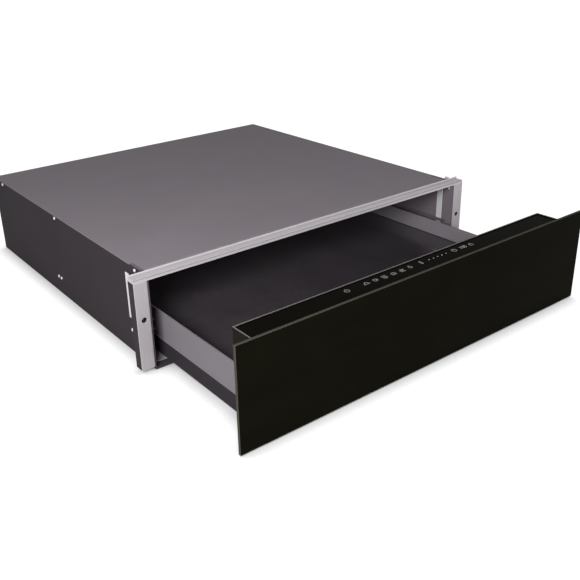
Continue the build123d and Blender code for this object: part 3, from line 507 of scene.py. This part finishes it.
class Marks:
    """Flat printed strokes and dots, built in one mesh on top of the control glass."""

    def __init__(self):
        self.bm = bmesh.new()

    def quad(self, corners):
        bottom = [self.bm.verts.new((x, y, MARK_Z + MARK_RISE - MARK_THICKNESS)) for x, y in corners]
        top = [self.bm.verts.new((x, y, MARK_Z + MARK_RISE)) for x, y in corners]
        self.bm.faces.new(top)
        self.bm.faces.new(list(reversed(bottom)))
        count = len(corners)
        for index in range(count):
            after = (index + 1) % count
            self.bm.faces.new((bottom[index], bottom[after], top[after], top[index]))

    def line(self, start, end, width=STROKE):
        start, end = Vector(start), Vector(end)
        along = (end - start).normalized()
        side = Vector((-along.y, along.x)) * width / 2
        reach = along * width * 0.25
        first, last = start - reach, end + reach
        self.quad([tuple(corner) for corner in (first - side, last - side, last + side, first + side)])

    def path(self, points, width=STROKE):
        for start, end in zip(points, points[1:]):
            self.line(start, end, width)

    def arc(self, centre, radius, start, end, width=STROKE, steps=24):
        points = []
        for index in range(steps + 1):
            angle = math.radians(start + (end - start) * index / steps)
            points.append((centre[0] + radius * math.cos(angle), centre[1] + radius * math.sin(angle)))
        inner = radius - width / 2
        outer = radius + width / 2
        for first, second in zip(points, points[1:]):
            corners = []
            for point, size in ((first, inner), (second, inner), (second, outer), (first, outer)):
                offset = (Vector(point) - Vector(centre)) / radius * size
                corners.append((centre[0] + offset.x, centre[1] + offset.y))
            self.quad(corners)

    def dot(self, centre, radius, steps=20):
        corners = []
        for index in range(steps):
            angle = 2 * math.pi * index / steps
            corners.append((centre[0] + radius * math.cos(angle), centre[1] + radius * math.sin(angle)))
        self.quad(corners)

    def write(self, name, material):
        mesh = bpy.data.meshes.new(name)
        bmesh.ops.recalc_face_normals(self.bm, faces=self.bm.faces)
        self.bm.to_mesh(mesh)
        self.bm.free()
        mesh.materials.append(material)
        piece = bpy.data.objects.new(name, mesh)
        bpy.context.scene.collection.objects.link(piece)
        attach(piece, "drawer")


def lit(name, color, strength):
    """A mark faintly lit from below the glass, a little uneven in its tone."""
    s = Shader(name)
    shader = s.principled(Roughness=0.3, Emission_Strength=strength)
    tone = s.mix(s.to_range(s.noise(900, detail=2.0), 0, 1), shade(color, 0.85), color)
    s.join(tone, shader.inputs["Base Color"])
    s.join(tone, shader.inputs["Emission Color"])
    return s.material


def power_mark(marks, x):
    """Ring with a gap at the back and a stroke through it."""
    marks.arc((x, ROW_Y), 0.0032, 125, 415)
    marks.line((x, ROW_Y + 0.0008), (x, ROW_Y + 0.0042))


def cloche_mark(marks, x):
    """Covered plate."""
    marks.arc((x, ROW_Y - 0.001), 0.0033, 0, 180)
    marks.line((x - 0.0046, ROW_Y - 0.0018), (x + 0.0046, ROW_Y - 0.0018))
    marks.dot((x, ROW_Y + 0.0031), 0.0007)


def cup_mark(marks, x):
    """Cup with a handle."""
    marks.path([
        (x - 0.0028, ROW_Y + 0.0026), (x - 0.0022, ROW_Y - 0.0026),
        (x + 0.0016, ROW_Y - 0.0026), (x + 0.0022, ROW_Y + 0.0026),
    ])
    marks.line((x - 0.0028, ROW_Y + 0.0026), (x + 0.0022, ROW_Y + 0.0026))
    marks.arc((x + 0.0026, ROW_Y + 0.0004), 0.0013, -90, 90)


def plates_mark(marks, x):
    """Stack of plates."""
    for rise in (-0.0026, 0.0, 0.0026):
        marks.line((x - 0.0036, ROW_Y + rise), (x + 0.0036, ROW_Y + rise))
    marks.line((x - 0.0018, ROW_Y - 0.0038), (x + 0.0018, ROW_Y - 0.0038))


def dough_mark(marks, x):
    """Rising dough on a board."""
    marks.arc((x - 0.0014, ROW_Y), 0.0017, 40, 320)
    marks.arc((x + 0.0016, ROW_Y), 0.0020, -130, 130)
    marks.line((x - 0.0032, ROW_Y - 0.0032), (x + 0.0036, ROW_Y - 0.0032))


def steam_mark(marks, x):
    """Three curls of steam over a plate."""
    for shift in (-0.0024, 0.0, 0.0024):
        marks.arc((x + shift, ROW_Y + 0.0012), 0.0012, -90, 90)
        marks.arc((x + shift, ROW_Y - 0.0012), 0.0012, 90, 270)
    marks.line((x - 0.0036, ROW_Y - 0.0038), (x + 0.0036, ROW_Y - 0.0038))


def drop_mark(marks, x):
    """Drop of water."""
    marks.arc((x, ROW_Y - 0.0010), 0.0022, 150, 390)
    marks.path([(x - 0.0019, ROW_Y + 0.0001), (x, ROW_Y + 0.0038), (x + 0.0019, ROW_Y + 0.0001)])


def thermometer_mark(marks, x):
    """Thermometer."""
    marks.dot((x, ROW_Y - 0.0022), 0.0014)
    marks.line((x - 0.0009, ROW_Y - 0.0014), (x - 0.0009, ROW_Y + 0.0034))
    marks.line((x + 0.0009, ROW_Y - 0.0014), (x + 0.0009, ROW_Y + 0.0034))
    marks.arc((x, ROW_Y + 0.0034), 0.0009, 0, 180, steps=10)


def timer_mark(marks, x):
    """Clock face with two hands."""
    marks.arc((x, ROW_Y), 0.0034, 0, 360, steps=32)
    marks.path([(x, ROW_Y + 0.0022), (x, ROW_Y), (x + 0.0016, ROW_Y)])


def lock_mark(marks, x):
    """Padlock."""
    marks.path([
        (x - 0.0026, ROW_Y + 0.0002), (x + 0.0026, ROW_Y + 0.0002), (x + 0.0026, ROW_Y - 0.0034),
        (x - 0.0026, ROW_Y - 0.0034), (x - 0.0026, ROW_Y + 0.0002),
    ])
    marks.arc((x, ROW_Y + 0.0006), 0.0018, 0, 180)


def digit_mark(marks, x, digit):
    """One seven-segment digit."""
    half, tall = 0.0013, 0.0026
    segments = {
        "a": ((-half, tall), (half, tall)),
        "b": ((half, tall), (half, 0)),
        "c": ((half, 0), (half, -tall)),
        "d": ((-half, -tall), (half, -tall)),
        "e": ((-half, 0), (-half, -tall)),
        "f": ((-half, tall), (-half, 0)),
        "g": ((-half, 0), (half, 0)),
    }
    lit_segments = {"0": "abcdef", "1": "bc", "3": "abgcd"}[digit]
    for key in lit_segments:
        start, end = segments[key]
        marks.line((x + start[0], ROW_Y + start[1]), (x + end[0], ROW_Y + end[1]), 0.0006)


printed = Marks()
power_mark(printed, POWER_X)
function_marks = (cloche_mark, cup_mark, plates_mark, dough_mark, steam_mark, drop_mark)
for index, draw in enumerate(function_marks):
    draw(printed, FIRST_FUNCTION_X + index * FUNCTION_PITCH)
thermometer_mark(printed, THERMOMETER_X)
timer_mark(printed, TIMER_X)
lock_mark(printed, LOCK_X)
printed.write("control_icons", lit("printed icons", ICON_GREY, 0.04))

lamps = Marks()
for index in range(LAMP_COUNT):
    lamps.dot((FIRST_LAMP_X + index * LAMP_PITCH, ROW_Y), LAMP_RADIUS)
lamps.write("level_lamps", lit("level lamps", LAMP_GREY, 0.2))

digits = Marks()
for x, digit in TIMER_DIGITS:
    digit_mark(digits, x, digit)
for rise in (-COLON_RISE, COLON_RISE):
    digits.dot((COLON_X, ROW_Y + rise), COLON_RADIUS, steps=12)
digits.write("display_digits", lit("display digits", DIGIT_GREY, 0.15))


# ---------------------------------------------------------------- studio
WORLD_LIGHT = 0.15
FLOOR_HALF = 6.0
FLOOR_DROP = 0.0005
FLOOR_WHITE = 0.20
CONTACT_SHADOW = 0.034
SHADOW_DARK = 0.15
SHADOW_CLEAR = 0.95


def make_world():
    """A dim even light, seen as plain white by the camera, in gloss and through glass."""
    world = bpy.data.worlds.new("studio")
    bpy.context.scene.world = world
    world.use_nodes = True
    tree = world.node_tree
    tree.nodes.clear()
    output = tree.nodes.new("ShaderNodeOutputWorld")
    path = tree.nodes.new("ShaderNodeLightPath")
    seen = tree.nodes.new("ShaderNodeBackground")
    seen.inputs["Color"].default_value = (1, 1, 1, 1)
    seen.inputs["Strength"].default_value = 1.0
    light = tree.nodes.new("ShaderNodeBackground")
    light.inputs["Color"].default_value = (1.0, 0.985, 0.99, 1)
    light.inputs["Strength"].default_value = WORLD_LIGHT
    direct = tree.nodes.new("ShaderNodeMath")
    direct.operation = "MAXIMUM"
    shown = tree.nodes.new("ShaderNodeMath")
    shown.operation = "MAXIMUM"
    mix = tree.nodes.new("ShaderNodeMixShader")
    link = tree.links.new
    link(path.outputs["Is Camera Ray"], direct.inputs[0])
    link(path.outputs["Is Glossy Ray"], direct.inputs[1])
    link(direct.outputs[0], shown.inputs[0])
    link(path.outputs["Is Transmission Ray"], shown.inputs[1])
    link(shown.outputs[0], mix.inputs[0])
    link(light.outputs[0], mix.inputs[1])
    link(seen.outputs[0], mix.inputs[2])
    link(mix.outputs[0], output.inputs["Surface"])


def make_floor():
    """A white floor that keeps the object's shadow, deepest where it stands close."""
    bm = bmesh.new()
    signs = ((-1, -1), (1, -1), (1, 1), (-1, 1))
    bm.faces.new([bm.verts.new((x * FLOOR_HALF, y * FLOOR_HALF, 0)) for x, y in signs])
    mesh = bpy.data.meshes.new("floor")
    bm.to_mesh(mesh)
    bm.free()
    floor = bpy.data.objects.new("floor", mesh)
    floor.location.z = -FLOOR_DROP
    bpy.context.scene.collection.objects.link(floor)
    s = Shader("floor")
    diffuse = s.add("ShaderNodeBsdfDiffuse")
    diffuse.inputs["Color"].default_value = (FLOOR_WHITE, FLOOR_WHITE, FLOOR_WHITE, 1)
    glow = s.add("ShaderNodeEmission")
    glow.inputs["Color"].default_value = (1, 1, 1, 1)
    path = s.add("ShaderNodeLightPath")
    contact = s.add("ShaderNodeAmbientOcclusion", samples=8)
    contact.inputs["Distance"].default_value = CONTACT_SHADOW
    seen = s.math("MAXIMUM", path.outputs["Is Camera Ray"], path.outputs["Is Glossy Ray"])
    seen = s.math("MAXIMUM", seen, path.outputs["Is Transmission Ray"])
    shadow = s.to_range(contact.outputs["AO"], 0.0, 1.0, SHADOW_DARK, SHADOW_CLEAR)
    s.join(s.math("MULTIPLY", seen, shadow), glow.inputs["Strength"])
    total = s.add("ShaderNodeAddShader")
    s.join(diffuse.outputs[0], total.inputs[0])
    s.join(glow.outputs[0], total.inputs[1])
    s.join(total.outputs[0], s.output.inputs["Surface"])
    mesh.materials.append(s.material)


def area_light(name, place, target, size, power, glare=False):
    """A square lamp aimed at a target, mirrored in the object only with glare."""
    data = bpy.data.lights.new(name, "AREA")
    data.shape = "SQUARE"
    data.size = size
    data.energy = power
    lamp = bpy.data.objects.new(name, data)
    lamp.location = place
    aim = Vector(target) - Vector(place)
    lamp.rotation_euler = aim.to_track_quat("-Z", "Y").to_euler()
    lamp.visible_glossy = glare
    bpy.context.scene.collection.objects.link(lamp)


make_world()
make_floor()
area_light(
    "key light", place=(-0.95, -0.64, 0.62), target=(-0.30, -0.05, 0.13), size=0.45, power=19, glare=True
)
area_light("front light", place=(0.0, -1.6, 0.56), target=(0.05, 0.0, 0.08), size=0.6, power=13)
area_light("rear light", place=(0.5, 2.2, 0.06), target=(0.0, 0.5, 0.06), size=0.4, power=26)
area_light("right light", place=(2.1, 0.2, 0.12), target=(0.3, 0.2, 0.06), size=0.4, power=14)

bpy.context.scene.view_settings.view_transform = "Standard"
